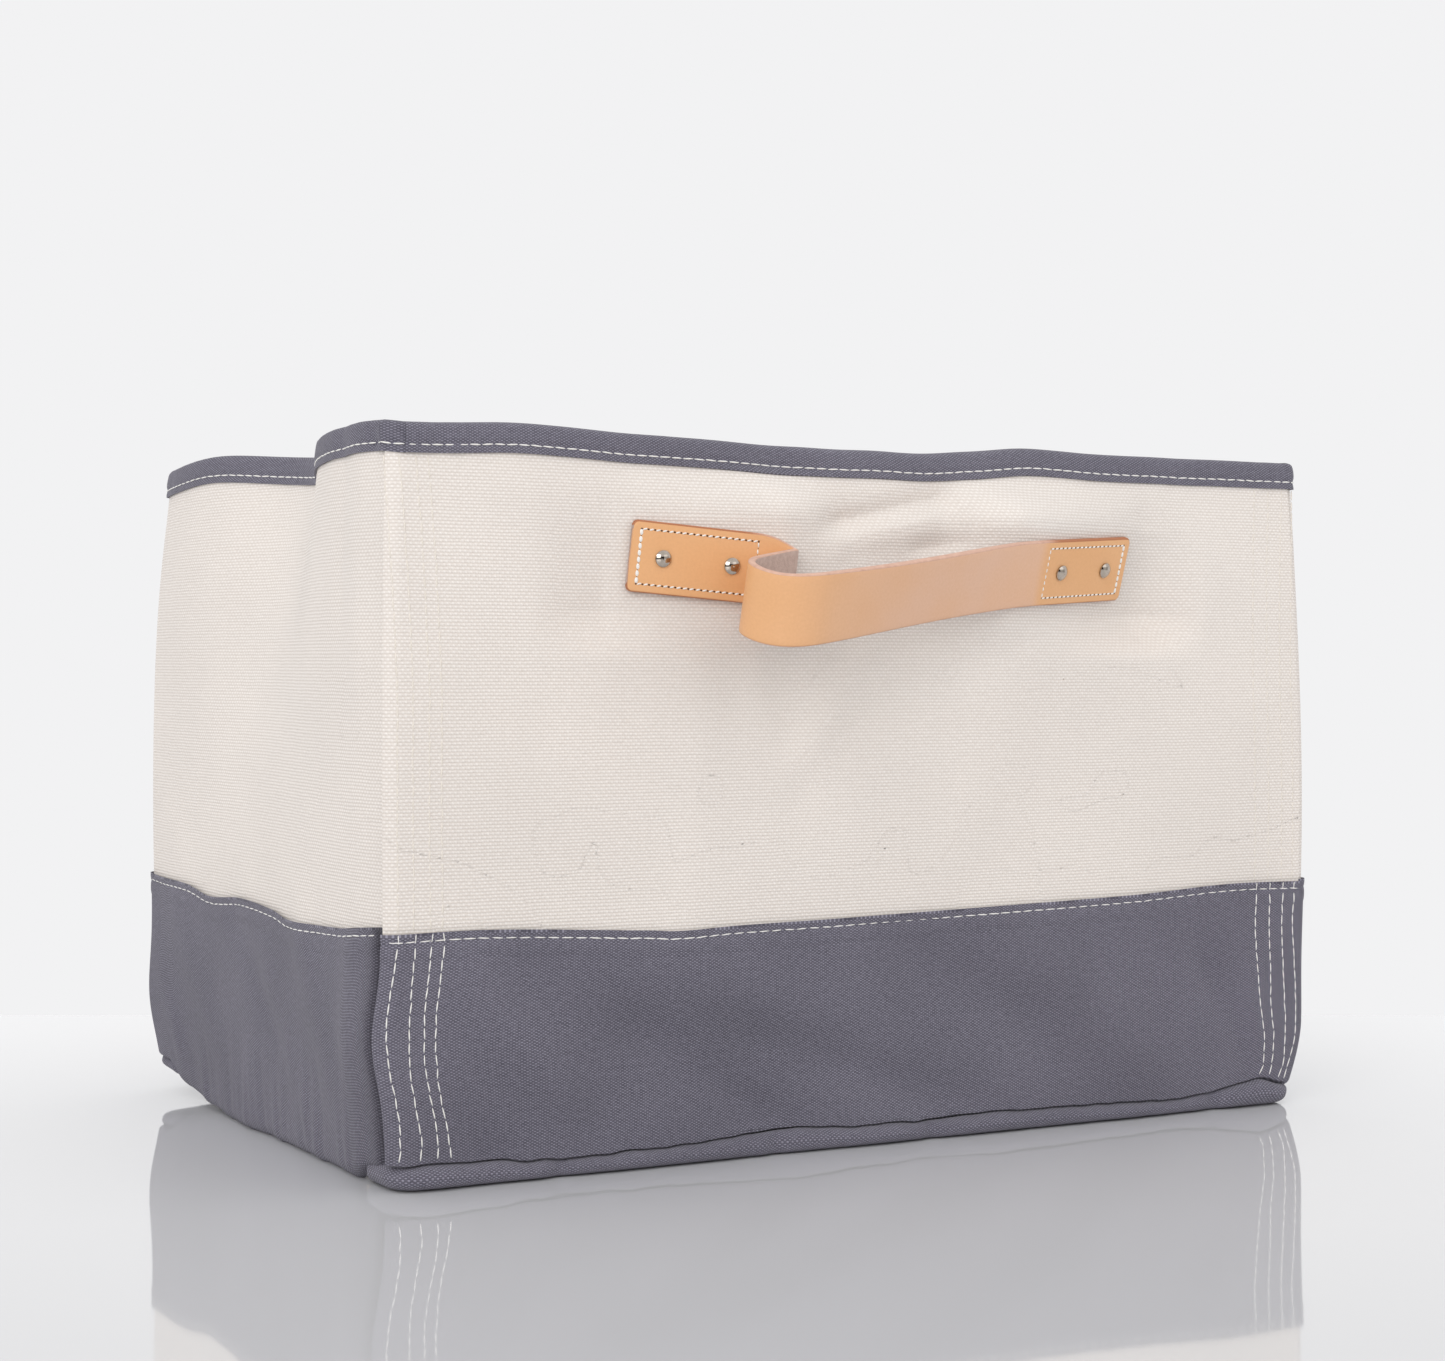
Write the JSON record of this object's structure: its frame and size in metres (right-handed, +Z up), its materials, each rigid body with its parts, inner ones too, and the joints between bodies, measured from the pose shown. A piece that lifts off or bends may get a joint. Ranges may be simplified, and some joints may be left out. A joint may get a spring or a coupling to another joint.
{
  "type": "fabric storage bin",
  "caption": "Rectangular open-top fabric bin with soft canvas walls, a dark band and base, and a folded leather strap handle riveted to each long side.",
  "frame": {"origin": "centre of the overall box, on the surface that the bin stands on", "axes": "+X along the long sides, to the right of the front wall; +Y from the front wall to the back wall; +Z up"},
  "size_m": [0.4354, 0.4066, 0.28],
  "materials": {
    "canvas": "plain-weave natural cotton canvas, matte",
    "slate_canvas": "plain-weave slate grey cotton canvas, matte",
    "thread": "off-white sewing thread",
    "leather": "smooth vegetable-tanned leather with burnished edges, satin",
    "rivet": "polished nickel",
    "board": "plain fibreboard, matte"
  },
  "bodies": {
    "bin": {"front_panel": "canvas", "back_panel": "canvas", "left_panel": "canvas", "right_panel": "canvas", "front_band": "slate_canvas", "back_band": "slate_canvas", "left_band": "slate_canvas", "right_band": "slate_canvas", "base_panel": "slate_canvas", "base_board": "board", "base_lining": "canvas", "rim_binding": "slate_canvas", "rim_thread": "thread", "band_thread": "thread", "corner_thread": "thread", "front_handle_left_end": "leather", "front_handle_right_end": "leather", "front_handle_thread": "thread", "front_handle_rivets": "rivet", "front_handle_rivet_backs": "rivet", "back_handle_left_end": "leather", "back_handle_right_end": "leather", "back_handle_thread": "thread", "back_handle_rivets": "rivet", "back_handle_rivet_backs": "rivet"},
    "front_handle": {"front_handle_loop": "leather"},
    "back_handle": {"back_handle_loop": "leather"}
  },
  "joints": [
    {"name": "front_handle_swing", "type": "hinge", "parent": "bin", "child": "front_handle", "pos_m": [0, -0.15541, 0.22706], "axis": [-1, 0, 0], "range_deg": [0, 22]},
    {"name": "back_handle_swing", "type": "hinge", "parent": "bin", "child": "back_handle", "pos_m": [0, 0.15541, 0.22706], "axis": [1, 0, 0], "range_deg": [0, 22]}
  ]
}
